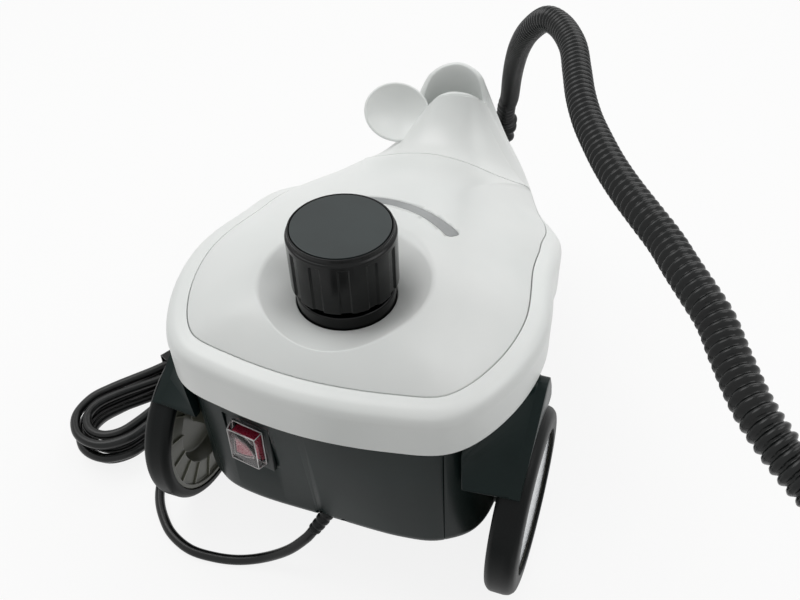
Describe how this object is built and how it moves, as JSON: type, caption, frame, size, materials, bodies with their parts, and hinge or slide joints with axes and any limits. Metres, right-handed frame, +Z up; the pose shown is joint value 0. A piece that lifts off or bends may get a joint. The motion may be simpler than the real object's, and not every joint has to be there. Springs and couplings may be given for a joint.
{
  "type": "canister steam cleaner",
  "caption": "Canister steam cleaner: domed shell with a holster neck, screw cap, covered rocker switch, wheels and caster, ribbed steam hose with a trigger gun, and a hanked mains cord.",
  "frame": {"origin": "centre of the footprint of the cleaner and its gun, on the floor", "axes": "+Y towards the nose with the hose outlet, +X towards the cleaner's right-hand wheel as seen from the switch side, +Z up"},
  "size_m": [0.6276, 0.6559, 0.3416],
  "materials": {
    "white_shell": "smooth, half gloss",
    "black_shell": "fine moulded grain",
    "smoked_lens": "clear grey, polished",
    "cap_black": "half gloss",
    "cap_grey": "satin",
    "tyre": "moulded rubber",
    "hub": "metallic grey, half gloss",
    "steel": "plain",
    "brass": "machined",
    "aluminium": "satin",
    "rubber": "matt",
    "cord": "smooth jacket, half gloss",
    "rocker_red": "gloss",
    "clear_cover": "clear soft cover",
    "silicone": "matt"
  },
  "bodies": {
    "machine": {"axle": "steel", "axle_bush_left": "black_shell", "axle_bush_right": "black_shell", "axle_clip_left": "steel", "axle_clip_right": "steel", "base_plate": "black_shell", "boiler_stand": "steel", "boiler_tank": "steel", "caster_plate": "steel", "cord_strain_relief": "rubber", "cord_tie": "rubber", "filler_collar": "cap_black", "gun_nozzle": "black_shell", "gun_shell_left": "black_shell", "gun_shell_right": "black_shell", "gun_valve": "brass", "heating_element": "steel", "hose_boot": "rubber", "hose_cuff": "rubber", "indicator_lens": "smoked_lens", "lower_housing": "black_shell", "outlet_pipe": "rubber", "plug_body": "rubber", "plug_pin_left": "brass", "plug_pin_right": "brass", "power_cord": "cord", "power_cord_hank": "cord", "power_cord_tail": "cord", "rear_panel": "black_shell", "steam_hose": "rubber", "steam_hose_coil": "rubber", "steam_pipe": "aluminium", "steam_valve": "brass", "switch_bezel": "rubber", "switch_cover": "clear_cover", "terminal_block": "rubber", "thermal_cutout": "aluminium", "thermostat": "aluminium", "top_cover": "white_shell", "trigger_pin": "steel", "upper_shell": "white_shell", "wheel_arch_left": "black_shell", "wheel_arch_right": "black_shell"},
    "wheel_left": {"tyre_left": "tyre", "wheel_hub_left": "hub", "hub_cap_left": "aluminium"},
    "wheel_right": {"tyre_right": "tyre", "wheel_hub_right": "hub", "hub_cap_right": "aluminium"},
    "caster": {"caster_fork": "black_shell", "caster_pin": "steel"},
    "caster_roller": {"caster_wheel": "tyre"},
    "seal": {"cap_seal": "silicone"},
    "cap": {"cap_body": "cap_black", "cap_disc": "cap_grey", "cap_plug": "brass"},
    "rocker": {"switch_rocker": "rocker_red"},
    "trigger": {"gun_trigger": "rubber"},
    "lock": {"trigger_lock": "rocker_red"}
  },
  "joints": [
    {"name": "wheel_left_roll", "type": "hinge", "parent": "machine", "child": "wheel_left", "pos_m": [-0.1139, -0.013, 0.0653], "axis": [1, 0, 0], "continuous": true},
    {"name": "wheel_right_roll", "type": "hinge", "parent": "machine", "child": "wheel_right", "pos_m": [0.1139, -0.013, 0.0653], "axis": [1, 0, 0], "continuous": true},
    {"name": "caster_swivel", "type": "hinge", "parent": "machine", "child": "caster", "pos_m": [0, 0.235, 0.04315], "axis": [0, 0, 1], "continuous": true},
    {"name": "caster_roll", "type": "hinge", "parent": "caster", "child": "caster_roller", "pos_m": [0, 0.224, 0.018], "axis": [1, 0, 0], "continuous": true},
    {"name": "cap_lift", "type": "slide", "parent": "machine", "child": "seal", "axis": [0, 0, 1], "range_m": [0, 0.0075]},
    {"name": "cap_turn", "type": "hinge", "parent": "seal", "child": "cap", "pos_m": [0, 0, 0.2205], "axis": [0, 0, 1], "range_deg": [0, 900]},
    {"name": "rocker_tilt", "type": "hinge", "parent": "machine", "child": "rocker", "pos_m": [-0.0461, -0.06986, 0.12596], "axis": [-0.9816, 0.1908, 0], "range_deg": [0, 20]},
    {"name": "trigger_pull", "type": "hinge", "parent": "machine", "child": "trigger", "pos_m": [0.01453, -0.2452, 0.02], "axis": [0, 0, -1], "range_deg": [0, 12], "stiffness_Nm_per_rad": 0.2, "springref_deg": -5.73},
    {"name": "lock_slide", "type": "slide", "parent": "machine", "child": "lock", "axis": [-0.9659, -0.2588, 0], "range_m": [0, 0.006]}
  ],
  "couplings": [
    {"joint": "cap_turn", "follows": "cap_lift", "rad_per_m": 2094.4}
  ]
}
